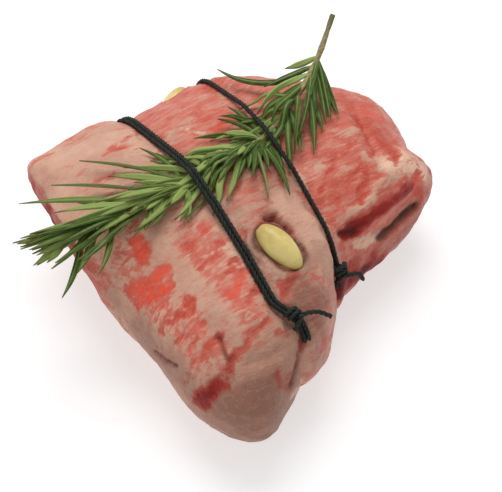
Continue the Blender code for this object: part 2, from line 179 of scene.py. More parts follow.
def noisy(tree, where, size, detail=3.0, rough=0.55, warp=0.0):  # size in millimetres
    node = tree.nodes.new("ShaderNodeTexNoise")
    node.inputs["Scale"].default_value = 1 / (size * mm)
    node.inputs["Detail"].default_value = detail
    node.inputs["Roughness"].default_value = rough
    node.inputs["Distortion"].default_value = warp
    tree.links.new(where, node.inputs["Vector"])
    return node.outputs["Fac"]


def worked(tree, kind, first, second):
    node = tree.nodes.new("ShaderNodeMath")
    node.operation = kind
    feed(tree, node.inputs[0], first)
    feed(tree, node.inputs[1], second)
    return node.outputs[0]


def plus(tree, first, second):
    return worked(tree, "ADD", first, second)


def times(tree, first, second):
    return worked(tree, "MULTIPLY", first, second)


def between(tree, value, low, high, toLow=0.0, toHigh=1.0):
    node = tree.nodes.new("ShaderNodeMapRange")
    node.interpolation_type = "SMOOTHSTEP"
    feed(tree, node.inputs["Value"], value)
    ends = {"From Min": low, "From Max": high, "To Min": toLow, "To Max": toHigh}
    for socket, number in ends.items():
        node.inputs[socket].default_value = number
    return node.outputs["Result"]


def mixed(tree, amount, first, second):
    node = tree.nodes.new("ShaderNodeMix")
    node.data_type = "RGBA"
    feed(tree, node.inputs["Factor"], amount)
    feed(tree, node.inputs["A"], first)
    feed(tree, node.inputs["B"], second)
    return node.outputs["Result"]


def bumped(tree, shader, height, depth, below=None):  # depth in millimetres
    node = tree.nodes.new("ShaderNodeBump")
    node.inputs["Distance"].default_value = depth * mm
    feed(tree, node.inputs["Height"], height)
    if below:
        tree.links.new(below, node.inputs["Normal"])
    tree.links.new(node.outputs["Normal"], shader.inputs["Normal"])
    return node.outputs["Normal"]


def addPiece(name, mesh, material, node):
    obj = bpy.data.objects.new(name, mesh)
    bpy.context.scene.collection.objects.link(obj)
    mesh.materials.clear()
    mesh.materials.append(material)
    mesh.shade_smooth()
    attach(obj, "root")
    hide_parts(node)


def store(mesh, name, values):
    layer = mesh.attributes.new(name, "FLOAT", "POINT")
    layer.data.foreach_set("value", np.ascontiguousarray(values, np.float32))


# The twine's way round the joint

twine = {
    # The left round comes first, then the right one
    "x": (-11.5, 27.0),  # where each round crosses the joint
    "slant": (0.02, 0.04),
    "nearBend": (7.0, 0.0),  # how far it turns aside at the near end
    "strands": (2, 1),
    "knots": ((-63, 53), (-45, 42)),  # their y and height
    "strandRadius": 1.05,
    "strandSpacing": 1.9,  # between two strands, in radii
    "gap": 0.45,
    "plies": 3,
    "plyTurn": 6.5,  # length of one full twist
    "plySides": 7,
    "middleHeight": 30,  # what each round is wound about
    "stemSide": 34,  # beyond this y the sprig has only leaves, which the twine doesn't rest on
    "rays": 300,  # cast inwards to find each round's outline
    "loopPoints": 400,
    "strandPoints": 620,
    "knotSize": (2.6, 1.7, 4.6),  # half its width, half its height and its length
    "knotLift": 1.9,
    "knotSteps": 18,
    "stepsPerTurn": 8,
    # Each short end's steps sideways, outwards and down from the knot
    "ends": (
        ((3, 1.2, 0), (7, 0.6, 2), (9, -0.4, 6)),
        ((-1, 1, 4), (-5, 0, 7), (-8, -1, 9)),
    ),
    "colours": {"dark": (10, 14, 11), "worn": (30, 38, 30), "paleStrandAndGlint": (58, 64, 52)},
}


def twineAt(index, y):  # the x of a round where it passes y
    bend = twine["nearBend"][index] * ease(-54, -70, y)
    return twine["x"][index] + twine["slant"][index] * y + bend


def turnOf(a, b, c):
    return (b[0] - a[0]) * (c[1] - a[1]) - (b[1] - a[1]) * (c[0] - a[0])


def convexRim(points):
    halves = []
    for run in (sorted(points), sorted(points)[::-1]):
        kept = []
        for place in run:
            while len(kept) > 1 and turnOf(kept[-2], kept[-1], place) <= 0:
                kept.pop()
            kept.append(place)
        halves += kept[:-1]
    return halves


def offsetRim(rim, room):
    moved = []
    for i, here in enumerate(rim):
        for a, b in ((rim[i - 1], here), (here, rim[(i + 1) % len(rim)])):
            dy, dz = b[0] - a[0], b[1] - a[1]
            size = math.hypot(dy, dz)
            moved.append((here[0] + dz / size * room, here[1] - dy / size * room))
    return convexRim(moved)


def evenSteps(rim, count):
    closed = np.array(rim + rim[:1])
    reach = np.append(0, np.cumsum(np.hypot(*np.diff(closed, axis=0).T)))
    spots = np.linspace(0, reach[-1], count, endpoint=False)
    return [(np.interp(s, reach, closed[:, 0]), np.interp(s, reach, closed[:, 1])) for s in spots]


def tautLoop(index):  # the shortest loop over the meat and the sprig's stem
    far = 200  # from outside everything
    halfWidth = twine["strands"][index] * twine["strandRadius"] + 0.2
    outer = []
    for step in range(twine["rays"]):
        angle = 2 * math.pi * step / twine["rays"]
        way = Vector((0, math.cos(angle), math.sin(angle)))
        y = way.y * 60
        for _ in range(3):  # the round is slanted, so its x and y are found by turns
            middle = Vector((twineAt(index, y), 0, twine["middleHeight"]))
            y = meatTree.ray_cast(middle + way * far, -way)[0].y
        reach = 0.0
        for side in (-1.0, -0.5, 0.0, 0.5, 1.0):
            middle.x = twineAt(index, y) + side * halfWidth
            for tree in (meatTree, sprigTree):
                hit = tree.ray_cast(middle + way * far, -way)[0]
                if hit and (tree == meatTree or hit.y < twine["stemSide"]):
                    reach = max(reach, (hit - middle).dot(way))
        outer.append((way.y * reach, twine["middleHeight"] + way.z * reach))
    rim = offsetRim(convexRim(outer), twine["strandRadius"] + twine["gap"])
    return [Vector((twineAt(index, y), y, z)) for y, z in evenSteps(rim, twine["loopPoints"])]


# The meat

meat = {
    "cell": 0.95,  # the size of the fine mesh's faces
    "rounding": 40,  # how often the fine mesh is smoothed
    "borders": ((-14, -8), (24, 31)),  # the x where the left, middle and right parts meet
    "leanParts": (0.17, 0.33, 0.54),  # how lean those parts are
    "cutFace": ((28, 37), (42, 27)),  # the left end's middle and half size, in y and z
    "muscleSink": 0.55,  # lean meat lies this much lower than the fat beside it
    "twineSwell": 0.7,
    "twineReach": 7,  # the meat this near a round fits itself to the strands
    "mostRise": 1.8,  # how far the meat may come up to meet the twine
    "twineCover": 0.6,  # the meat over the twine below each knot
    "cloveLip": 1.3,
    # Uneven surface: height and size in millimetres, then the noise's seed and stretch
    "lumps": (
        (0.45, 11, 6, (1, 1, 1)),
        (0.26, 4.2, 7, (1, 1, 1)),
        (0.16, 2.2, 8, (0.3, 1, 1)),
    ),
    "rightLumps": (0.5, 7, 17, (1, 0.6, 1)),
    "roughness": 0.42,
    "colours": {
        # The cream is bright enough to serve also as painted light on the lit rib
        "fat": (196, 146, 126), "warmFat": (206, 160, 136), "creamAndLight": (242, 198, 170),
        "pink": (212, 122, 102), "deepPink": (204, 102, 86), "lean": (186, 66, 50),
        # The skin colour is dark enough to serve also as painted shade
        "freshLean": (206, 88, 68), "bright": (236, 80, 54), "skinAndShade": (126, 84, 68),
        # Blood and clot also serve as painted shade on the lobe under the right knot and in two
        # slits
        "blush": (218, 150, 128), "vein": (226, 196, 174), "bloodAndShade": (158, 36, 28),
        # The crease colour is painted shadow in deep slits and round the near clove
        "clotAndShade": (86, 22, 20), "crease": (80, 36, 28),
    },
    # Streaks of lean in the fat: the picture's pixels that each runs through, width in
    # millimetres, amount
    "lean": (
        ((137, 242), (144, 262), 6, 1),
        ((133, 255), (118, 270), 5, 0.45),
        ((141, 240), (147, 251), 3.4, 0.8),
        ((131, 290), (150, 284), (162, 270), 6.5, 1),
        ((138, 302), (156, 295), (172, 283), 6, 1),
        ((152, 311), (165, 299), 3.2, 0.8),
        ((160, 331), (172, 321), (186, 314), (191, 304), (184, 298), 4.2, 0.92),
        ((176, 342), (190, 331), (205, 319), 3.6, 0.72),
        ((194, 361), (207, 349), (219, 336), 4.4, 0.9),
        ((191, 349), (200, 332), 2.6, 0.7),
        ((184, 384), (192, 376), 2.6, 0.62),
        ((199, 403), (208, 394), (218, 384), 6.4, 1),
        ((183, 247), (196, 240), (207, 224), 4.8, 0.95),
        ((166, 230), (172, 221), 3.6, 0.6),
        ((200, 269), (215, 256), (221, 243), 3, 0.8),
        ((216, 283), (232, 269), (236, 259), 3.8, 0.88),
        ((232, 297), (238, 286), (243, 273), 5.6, 1),
        ((250, 301), (258, 287), 3.8, 0.75),
        ((242, 319), (245, 317), 3, 0.7),
        ((229, 372), (238, 354), (247, 342), (258, 328), (267, 321), 4.8, 0.95),
        ((128, 266), (150, 298), (180, 324), (205, 348), 19, 0.42),
        ((190, 238), (222, 270), (250, 305), 15, 0.5),
        ((275, 334), (288, 332), 2.6, 0.65),
        ((283, 289), (288, 281), (294, 274), 5.4, 1),
        ((299, 340), (297, 368), 4, 0.6),
        ((298, 290), (310, 296), (322, 304), 10, 0.45),
        ((311, 345), (319, 350), 4, 0.75),
        ((238, 187), (241, 182), 3.6, 0.8),
        ((254, 178), (258, 191), 4, 0.68),
        ((264, 198), (270, 200), 3.6, 0.6),
        ((232, 204), (246, 194), 3, 0.5),
        ((334, 101), (355, 103), (372, 107), 5, 0.8),
        ((367, 110), (381, 118), 7, 0.85),
        ((352, 112), (358, 118), (368, 134), (376, 155), 3.4, 0.8),
        ((374, 127), (384, 140), (393, 154), 8.5, 0.9),
        ((316, 133), (322, 131), 4.4, 0.75),
        ((331, 126), (337, 123), 3.6, 0.65),
        ((324, 184), (336, 160), (356, 145), 3.6, 0.78),
        ((318, 190), (330, 176), 3.4, 0.8),
        ((339, 201), (346, 181), (356, 170), 4, 0.85),
        ((358, 198), (368, 172), 5.2, 0.98),
        ((342, 193), (352, 180), 3, 0.8),
        ((416, 180), (420, 193), 8, 1),
        ((404, 190), (388, 205), (371, 216), (357, 222), 6, 1),
        ((420, 218), (386, 240), 6, 0.62),
        ((346, 234), (354, 233), 5, 1),
        ((338, 286), (356, 278), (376, 266), 12, 1),
        ((106, 154), (122, 146), (140, 135), 4.4, 0.62),
        ((97, 181), (110, 176), 4, 0.6),
        ((211, 128), (234, 119), 5, 0.92),
        ((196, 142), (222, 131), 5, 0.7),
        ((160, 128), (200, 106), 9, 0.5),
        ((150, 116), (190, 100), 7, 0.45),
        ((252, 98), (266, 91), 4.4, 0.75),
    ),
    # Where the lean is brightest, and where it is dark with blood; some blood strokes are painted
    # shade on the lobe under the right knot and in two slits
    "bright": (
        ((137, 247), (143, 259), 5, 1),
        ((132, 289), (150, 285), (160, 274), 7, 1),
        ((139, 300), (155, 296), (168, 286), 6.5, 1),
        ((206, 230), (200, 236), 3.4, 0.6),
        ((233, 295), (241, 278), 4.4, 0.65),
        ((367, 110), (381, 118), 7.5, 0.8),
        ((211, 128), (234, 119), 4, 0.7),
        ((416, 180), (420, 192), 7, 0.9),
        ((316, 133), (322, 131), 4, 0.6),
        ((284, 288), (292, 276), 4, 0.5),
    ),
    "bloodAndShade": (
        ((199, 403), (208, 394), (218, 384), 6.4, 0.72),
        ((228, 372), (232, 362), 4.6, 0.6),
        ((256, 332), (264, 323), 3.6, 0.3),
        ((278, 378), (290, 384), 6, 0.5),
        ((283, 289), (288, 281), 4.6, 0.4),
        ((413, 182), (420, 193), 6, 0.36),
        ((412, 189), (402, 198), (385, 209), (368, 220), (352, 229), 6.6, 0.66),
        # Partly painted shade in the slit that this stroke follows
        ((352, 112), (358, 118), (368, 134), (376, 155), 2.2, 0.35),
        ((376, 132), (392, 152), 5, 0.22),
        ((358, 198), (368, 172), 3, 0.22),
        ((346, 234), (354, 233), 4.6, 0.85),
        ((238, 187), (240, 184), 2.6, 0.3),
        # Partly painted shade in the slit over the near clove
        ((266, 217), (275, 217), (285, 226), (292, 235), 2.6, 0.6),
        # Dark with painted shade on the underside of the lobe under the right knot, here and in
        # the next stroke
        ((338, 286), (356, 278), (376, 266), 11, 1),
        ((343, 272), (372, 258), 6, 0.5),
    ),
    # Pale fat, one rib of it bright with painted light, and the thin brownish skin over the near
    # end, which also lays painted shade on sides facing away from the light and in grooves
    "creamAndLight": (
        ((160, 250), (183, 269), (198, 300), (219, 320), (227, 337), 9, 0.3),
        ((60, 160), (120, 140), 16, 0.5),
        ((60, 195), (85, 225), 14, 0.6),
        # A rib of pale fat at full strength, bright with painted light where light falls on the
        # ridge
        ((390, 166), (403, 159), (414, 168), (424, 179), 10, 1),
        ((349, 218), (357, 207), (371, 199), (385, 180), (392, 165), 4.6, 0.34),
        ((361, 149), (374, 166), 3, 0.3),
        ((342, 132), (358, 128), 6, 0.26),
        ((318, 169), (322, 166), 3.4, 0.4),
        ((298, 180), (302, 190), 4, 0.5),
        ((251, 240), (256, 253), 4, 0.8),
        ((284, 200), (312, 232), 13, 0.6),
        ((266, 264), (284, 276), 5, 0.7),
        ((312, 246), (330, 268), 8, 0.6),
        ((357, 243), (379, 238), 4.6, 0.8),
        ((171, 127), (203, 133), 1.4, 0.8),
        ((241, 311), (261, 318), 1.6, 0.9),
        ((238, 383), (268, 377), 1.8, 0.7),
        ((305, 374), (292, 396), 4.6, 0.7),
        ((167, 369), (186, 371), 3, 0.6),
    ),
    "skinAndShade": (
        ((240, 366), (290, 350), 12, 0.5),
        ((225, 410), (270, 395), 24, 1),
        ((300, 302), (320, 320), 11, 0.8),
        ((298, 288), (312, 294), (322, 300), 12, 0.85),
        ((312, 334), (316, 360), 9, 0.6),
        ((418, 206), (406, 215), (393, 226), (380, 238), 4.6, 1),
        ((225, 205), (262, 232), 9, 0.5),
        ((316, 252), (328, 266), 9, 0.35),
        ((140, 335), (165, 362), (185, 385), (212, 416), 17, 0.75),
        ((104, 285), (125, 318), (140, 335), 8, 0.4),
        ((236, 165), (260, 160), 10, 0.5),
        ((298, 320), (322, 334), 8, 0.6),
        ((215, 318), (228, 340), 8, 0.3),
    ),
    # Slits and folds: pixels, width, depth. A fold that stands up has a depth below zero
    "cuts": (
        ((154, 353), (165, 359), (176, 366), 0.95, 1.4),
        ((217, 337), (222, 348), (228, 360), 1.3, 1.2),
        ((248, 366), (268, 357), (290, 346), 2, 0.95),
        ((268, 217), (276, 217), (285, 226), (290, 233), 1.9, 3.4),
        ((299, 338), (292, 384), 2, 1.5),
        ((418, 205), (406, 215), (393, 226), (381, 238), 1.7, 2.2),
        ((352, 112), (358, 118), (368, 134), (376, 155), 3.2, 0.95),
        ((340, 234), (354, 232), 1.8, 1.4),
        ((241, 308), (261, 315), 0.8, 0.5),
        ((241, 311), (261, 318), 0.9, -0.5),
        ((238, 383), (268, 377), 1.4, -0.6),
        ((171, 127), (203, 133), 0.8, -0.3),
        ((310, 326), (314, 350), 1.8, -1),
        ((252, 238), (257, 254), 2.4, -0.9),
        ((292, 240), (306, 262), 2.4, -0.7),
        ((349, 215), (371, 199), (390, 170), 2.6, -0.9),
        ((392, 165), (405, 157), (422, 174), 3, -0.7),
    ),
}


def segmentDistance(points, start, end):
    start, end = np.array(start), np.array(end)
    way = end - start
    t = np.clip((points - start) @ way / (way @ way), 0, 1)
    return np.linalg.norm(points - start - t[:, None] * way, axis=1)


def pathDistance(points, pixels):
    places = [onMeat(pixel) for pixel in pixels]
    return np.min([segmentDistance(points, *ends) for ends in zip(places, places[1:])], axis=0)


def strokes(points, lines, blur=1.65):  # how strongly each point is inside a stroke, from 0 to 1
    field = np.zeros(len(points))
    for *pixels, width, amount in lines:
        distance = pathDistance(points, pixels)
        field = np.maximum(field, amount * (1 - ease(0.35, blur, distance * 2 / width)))
    return field


def wandered(points, amount):
    # Shifts places about, so that what is drawn with them gets an uneven edge
    coarse = [grain(points, 4.6, seed) for seed in (11, 12, 13)]
    fine = [grain(points, 1.5, seed, (0.6, 1, 1)) for seed in (14, 15, 16)]
    return points + amount * (np.array(coarse).T * 2.4 + np.array(fine).T * 0.9)


def meatMesh():
    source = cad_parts["lamb_joint"].data.copy()
    work = bmesh.new()
    work.from_mesh(source)
    bmesh.ops.remove_doubles(work, verts=work.verts, dist=0.01 * mm)
    work.to_mesh(source)
    work.free()
    obj = bpy.data.objects.new("fineMeat", source)
    bpy.context.scene.collection.objects.link(obj)
    remesh = obj.modifiers.new("fine", "REMESH")
    remesh.mode = "VOXEL"
    remesh.voxel_size = meat["cell"] * mm
    graph = bpy.context.evaluated_depsgraph_get()
    mesh = bpy.data.meshes.new_from_object(obj.evaluated_get(graph))
    bpy.data.objects.remove(obj)
    return mesh


def rounded(mesh, points):
    # Smooths in and out by turns, which takes off facets but keeps the size
    edges = np.empty(len(mesh.edges) * 2, int)
    mesh.edges.foreach_get("vertices", edges)
    first, second = edges.reshape(-1, 2).T
    count = len(points)
    near = np.bincount(first, minlength=count) + np.bincount(second, minlength=count)
    for _ in range(meat["rounding"]):
        for step in (0.6, -0.62):
            middle = np.empty_like(points)
            for axis, row in enumerate(points.T):
                middle[:, axis] = np.bincount(first, row[second], count)
                middle[:, axis] += np.bincount(second, row[first], count)
            points = points + step * (middle / near[:, None] - points)
    return points


def regions(points, normals):
    # How lean, bloody, skinned and pale the meat is before the streaks are laid on, with painted
    # shade on steep sides laid in as skin
    x, y, z = points.T
    wide = grain(points, 17, 1)
    near = grain(points, 7, 2)
    alongFibres = grain(points, 5, 3, (0.35, 1, 1))
    steep = 1 - ease(0.15, 0.6, normals[:, 2])
    leftPart = 1 - ease(*meat["borders"][0], x)
    rightPart = ease(*meat["borders"][1], x)
    middlePart = 1 - leftPart - rightPart
    nearEnd = ease(-52, -78, y) * leftPart
    farSide = ease(50, 66, y)
    under = ease(-0.3, -0.8, normals[:, 2])

    # The cut face at the left end is an uneven oval, with blood in its middle
    (middleY, middleZ), (halfY, halfZ) = meat["cutFace"]
    fromMiddle = np.hypot((y - middleY) / halfY, (z - middleZ) / halfZ) + 0.35 * wide + 0.25 * near
    cutFace = ease(-46, -58, x) * steep * ease(1.5, 0.7, fromMiddle) * ease(-16, 4, y)
    deepest = ease(-46, -56, x) * steep * ease(1.15, 0.2, fromMiddle) * ease(-6, 12, y)

    left, middle, right = meat["leanParts"]
    lean = leftPart * left + middlePart * middle + rightPart * right
    lean += rightPart * (steep * 0.06 + ease(35, 70, x) * 0.06) + farSide * 0.14
    lean += ease(-5, 35, y) * middlePart * 0.20
    lean += leftPart * ease(-52, -40, x) * ease(40, -20, y) * 0.08
    lean += (0.22 * wide + 0.24 * near + 0.16 * alongFibres) * (1 - 0.35 * rightPart)
    lean = lean * (1 - 0.5 * nearEnd)
    lean = np.maximum(lean, cutFace * (0.78 + 0.6 * near + 0.3 * alongFibres))
    lean = lean * (1 - under) + under * (0.42 + 0.5 * near)
    bloodAndShade = deepest * (0.74 + 0.4 * wide + 0.4 * alongFibres)
    bloodAndShade += 0.2 * np.maximum(0, near) * rightPart
    # Skin over the near end and the middle; the near end is darkened with it also as painted
    # shade, and the steep sides get painted shade, most low on the right
    skinAndShade = nearEnd * 0.6 + middlePart * (0.25 + 0.5 * wide) * ease(40, 10, y)
    skinAndShade += steep * leftPart * 0.3
    skinAndShade += steep * rightPart * ease(46, 18, z) * 0.7
    creamAndLight = np.clip(0.35 + 0.5 * wide, 0, 1) * (1 - 0.5 * middlePart)
    return lean, bloodAndShade, skinAndShade, creamAndLight


def swollen(points, normals):
    # The meat stands up in puckers on both sides of each round of twine
    x, y, _ = points.T
    for index in (0, 1):
        beside = np.abs(x - twineAt(index, y))
        pucker = 0.5 + 0.5 * np.sin(y / 1.9 + 3 * grain(points, 12, 9 + index))
        height = bell(beside - 4.2, 2.2) * meat["twineSwell"] * pucker
        points = points + normals * height[:, None]
    return points


def nestle(points, loops):
    # Brings the meat up to each strand from below, dents it where the strand would cut it,
    # and lays it over the twine below each knot
    for index, loop in enumerate(loops):
        tree = kdtree.KDTree(len(loop))
        for i, place in enumerate(loop):
            tree.insert(place, i)
        tree.balance()
        half = (twine["strands"][index] - 1) * twine["strandRadius"]
        radius = twine["strandRadius"] + 0.08
        knotHeight = twine["knots"][index][1]
        beside = np.abs(points[:, 0] - twineAt(index, points[:, 1]))
        for i in np.nonzero(beside < meat["twineReach"])[0]:
            place = Vector(points[i])
            centre = tree.find(place)[0]
            inward = Vector((0, -centre.y, twine["middleHeight"] - centre.z)).normalized()
            depth = (place - centre).dot(inward)
            across = max(0.0, beside[i] - half)
            if centre.y < 0:
                hidden = ease(knotHeight - 5, knotHeight - 11, centre.z) * ease(9, 15, centre.z)
                if hidden > 0.5:
                    cover = max(0.0, depth + radius + meat["twineCover"])
                    points[i] = place - inward * (cover * bell(across, 3.4) * hidden)
                    continue
            under = math.sqrt(max(0.0, radius * radius - across * across))
            if depth > 0 and depth > under:
                rise = min(depth - under * 0.9, meat["mostRise"]) * bell(across, 3.2)
                points[i] = place - inward * rise
            elif across < radius and depth < under:
                points[i] = place + inward * (under - depth)
    return points


def deepen(fields, name, values):
    fields[name] = np.maximum(fields[name], values)


def meatFields(points, normals):  # what the material reads at each point
    lean, bloodAndShade, skinAndShade, creamAndLight = regions(points, normals)
    drawn = wandered(points, 1.0)
    pale = ease(0.05, 0.5, strokes(drawn, meat["creamAndLight"]))
    lean = np.maximum(lean * (1 - 0.75 * pale), strokes(drawn, meat["lean"]))
    lean = np.maximum(lean, 0.45 * strokes(drawn, meat["lean"], 2.4))
    streaky = grain(points, 3.0, 18, (0.4, 1, 1))
    bloodAndShadeLevel = grain(points, 5.0, 19, (0.4, 1, 1))
    return {
        "lean": lean,
        "bright": strokes(drawn, meat["bright"], 2.2) * (0.8 + 0.5 * streaky),
        "bloodAndShade": np.maximum(bloodAndShade, strokes(drawn, meat["bloodAndShade"], 2.0) * (0.9 + 0.4 * bloodAndShadeLevel)),
        "creamAndLight": np.maximum(creamAndLight, strokes(drawn, meat["creamAndLight"], 1.8)),
        "skinAndShade": np.maximum(skinAndShade * (1 - 0.6 * pale), strokes(drawn, meat["skinAndShade"], 1.8)),
        "crease": np.zeros(len(points)),
    }


def meatRise(points, fields):
    # How far each point rises or sinks. The slits also show in the fields, deep ones with painted
    # shadow
    rise = -meat["muscleSink"] * ease(0.3, 0.8, fields["lean"])
    for height, *settings in meat["lumps"]:
        rise += height * grain(points, *settings)
    height, *settings = meat["rightLumps"]
    rise += height * ease(22, 32, points[:, 0]) * grain(points, *settings)
    calm = wandered(points, 0.35)
    for *pixels, width, depth in meat["cuts"]:
        distance = pathDistance(calm, pixels)
        rise -= depth * bell(distance, width)
        # Deep slits are darkened with painted shadow, and show lean
        if depth > 1:
            dark = min(0.95, 0.35 + depth * 0.25)
            deepen(fields, "crease", dark * bell(distance, width * 0.75))
            deepen(fields, "lean", 0.6 * bell(distance, width * 1.3))
    _, middle, rootWay, length, width = garlic["cloves"][0]  # the near one, in an open slit
    half = Vector(rootWay).normalized() * (length - width) / 2
    lip = segmentDistance(points, Vector(middle) - half, Vector(middle) + half) - width / 2
    # Painted shadow and a ring of painted shade round the near clove, where it sits in its slit
    deepen(fields, "crease", 0.82 * bell(lip, 1.0))
    deepen(fields, "skinAndShade", 0.5 * bell(lip, 2.2))
    return rise + meat["cloveLip"] * bell(lip - 1.4, 1.4)


def makeMeat(loops):
    mesh = meatMesh()
    points = rounded(mesh, benchPoints(mesh))
    placePoints(mesh, points)
    normals = normalsOf(mesh)
    fields = meatFields(points, normals)
    rise = meatRise(points, fields)
    onBoard = ease(-0.55, -0.85, normals[:, 2]) * ease(2.5, 0.8, points[:, 2])
    beside = np.minimum(*[np.abs(points[:, 0] - twineAt(i, points[:, 1])) for i in (0, 1)])
    rise = rise * (1 - onBoard) * (1 - 0.8 * bell(beside, 2.5))
    points = points + normals * rise[:, None]
    points = nestle(swollen(points, normals * (1 - onBoard)[:, None]), loops)
    points[:, 2] = np.maximum(points[:, 2], 0.0)
    placePoints(mesh, points)
    for name, values in fields.items():
        store(mesh, name, np.clip(values, 0, 1))
    addPiece("meat", mesh, meatMaterial(), "lamb_joint")
    print("Meat made with", len(mesh.polygons), "faces")


def meatMaterial():
    material, tree, shader = newMaterial(
        "rawMeat",
        meat["roughness"],
        Specular_IOR_Level=0.18,
        Subsurface_Weight=0.1,
        Subsurface_Radius=(0.003, 0.001, 0.0007),
        Subsurface_Scale=1.0,
        Coat_Weight=0.03,
        Coat_Roughness=0.3,
    )
    paint = paints(meat)
    plain = placed(tree)
    fibres = placed(tree, turn=(0, 0, -15), stretch=(0.22, 1, 0.8))
    fine = noisy(tree, plain, 1.6, 5, 0.6)
    fibre = noisy(tree, fibres, 0.9, 4, 0.6, 0.4)
    blotch = noisy(tree, plain, 6, 3, 0.5, 0.6)
    broad = noisy(tree, plain, 20, 2, 0.5)
    # How lean it is, made ragged by the fibres and marbled
    edge = plus(tree, painted(tree, "lean"), between(tree, fine, 0.2, 0.8, -0.12, 0.12))
    edge = plus(tree, edge, between(tree, fibre, 0.25, 0.75, -0.09, 0.09))
    marbling = between(tree, noisy(tree, fibres, 2.4, 3, 0.6, 0.5), 0.42, 0.6, -0.22, 0.08)
    edge = plus(tree, edge, marbling)
    fat = mixed(tree, between(tree, blotch, 0.3, 0.7), paint["fat"], paint["warmFat"])
    # Cream is squared, so that its bright colour, painted light on the lit rib, shows fully only
    # in full strokes
    creamAndLightAmount = times(tree, painted(tree, "creamAndLight"), painted(tree, "creamAndLight"))
    fat = mixed(tree, creamAndLightAmount, fat, paint["creamAndLight"])
    pink = mixed(tree, between(tree, blotch, 0.35, 0.65), paint["pink"], paint["deepPink"])
    muscle = mixed(tree, between(tree, fibre, 0.3, 0.7), paint["lean"], paint["freshLean"])
    streaks = between(tree, fibre, 0.2, 0.6, 0.7, 1.0)
    bright = times(tree, painted(tree, "bright"), streaks)
    muscle = mixed(tree, bright, muscle, paint["bright"])
    colour = mixed(tree, between(tree, edge, 0.10, 0.48), fat, pink)
    colour = mixed(tree, between(tree, edge, 0.38, 0.94), colour, muscle)
    # The skin, which also carries painted shade
    skinAndShade = times(tree, painted(tree, "skinAndShade"), 0.85)
    colour = mixed(tree, skinAndShade, colour, paint["skinAndShade"])
    colour = mixed(tree, between(tree, broad, 0.35, 0.7, 0.0, 0.12), colour, paint["blush"])
    vein = between(tree, noisy(tree, fibres, 3.2, 3, 0.5, 1.4), 0.495, 0.515)
    vein = times(tree, vein, between(tree, fine, 0.4, 0.7, 0.0, 0.14))
    colour = mixed(tree, vein, colour, paint["vein"])
    ragged = between(tree, fibre, 0.25, 0.75, -0.1, 0.06)
    # Blood, which also carries painted shade on the lobe and in slits
    bloodAndShadeLevel = plus(tree, painted(tree, "bloodAndShade"), ragged)
    colour = mixed(tree, between(tree, bloodAndShadeLevel, 0.04, 0.74), colour, paint["bloodAndShade"])
    colour = mixed(tree, between(tree, bloodAndShadeLevel, 0.5, 1.0), colour, paint["clotAndShade"])
    # Painted shadow in deep slits and round the near clove
    colour = mixed(tree, painted(tree, "crease"), colour, paint["crease"])
    tree.links.new(colour, shader.inputs["Base Color"])
    # Lean shines a little more than fat, and blood, with the painted shade laid in its field, the
    # least
    dry = plus(tree, between(tree, fine, 0.2, 0.8, 0.36, 0.54), times(tree, edge, -0.06))
    dry = plus(tree, dry, times(tree, painted(tree, "bloodAndShade"), 0.3))
    tree.links.new(dry, shader.inputs["Roughness"])
    grooves = bumped(tree, shader, fibre, 0.45)
    bumped(tree, shader, fine, 0.4, grooves)
    return material


# Garlic

garlic = {
    # Each clove: its CAD node, its middle, the way its root points, its length and its width
    "cloves": (
        ("garlic_clove_near", (1, -39, 64), (-0.3, 0.87, 0.39), 23, 13),
        ("garlic_clove_far", (14.5, 67, 43.5), (0.8, 0.45, 0.2), 20, 11),
    ),
    "flatness": 0.88,  # its height for its width
    "taper": 0.1,
    "ridges": 5,
    "ridgeHeight": 0.025,
    "colours": {
        "flesh": (212, 190, 108), "paleFlesh": (232, 212, 136), "shade": (182, 152, 84),
        "root": (150, 112, 62), "tip": (196, 172, 92),
    },
}


def makeClove(node, middle, rootWay, length, width):
    cage = bmesh.new()
    bmesh.ops.create_uvsphere(cage, u_segments=64, v_segments=48, radius=1.0)
    turn = Vector(rootWay).to_track_quat("Z", "X")
    toRoot = []
    for vert in cage.verts:
        x, y, z = vert.co
        slim = 1.0 - garlic["taper"] * ease(0.2, -1.0, z)
        wave = math.cos(garlic["ridges"] * math.atan2(y, x) + 0.6)
        ridge = 1.0 + garlic["ridgeHeight"] * wave * (1 - z * z)
        side = width / 2 * slim * ridge
        blunt = 0.97 if z > 0.97 else 1.0  # the root end
        along = min(z, 0.98) * length / 2 / 0.98 * blunt
        toRoot.append(z)
        vert.co = turn @ Vector((x * side, y * side * garlic["flatness"], along)) + Vector(middle)
    mesh = bpy.data.meshes.new(node)
    cage.to_mesh(mesh)
    cage.free()
    placePoints(mesh, [vert.co for vert in mesh.vertices])
    store(mesh, "toRoot", toRoot)
    addPiece(node.replace("garlic_", "") + "_fine", mesh, garlicMaterial(), node)


def garlicMaterial():
    material, tree, shader = newMaterial(
        "garlic",
        0.38,
        Specular_IOR_Level=0.5,
        Subsurface_Weight=0.2,
        Subsurface_Radius=(0.003, 0.0022, 0.001),
    )
    paint = paints(garlic)
    plain = placed(tree)
    cloudy = noisy(tree, plain, 7, 3)
    streaky = noisy(tree, plain, 1.4, 4)
    colour = mixed(tree, between(tree, cloudy, 0.3, 0.7), paint["flesh"], paint["paleFlesh"])
    toRoot = painted(tree, "toRoot")
    # Darker towards the root end, which sits in its slit: painted shade
    colour = mixed(tree, between(tree, toRoot, 0.1, 0.95, 0.0, 0.5), colour, paint["shade"])
    colour = mixed(tree, between(tree, toRoot, 0.90, 0.97), colour, paint["root"])
    colour = mixed(tree, between(tree, toRoot, -0.7, -1.0, 0.0, 0.5), colour, paint["tip"])
    tree.links.new(colour, shader.inputs["Base Color"])
    bumped(tree, shader, streaky, 0.12)
    return material


# Rosemary

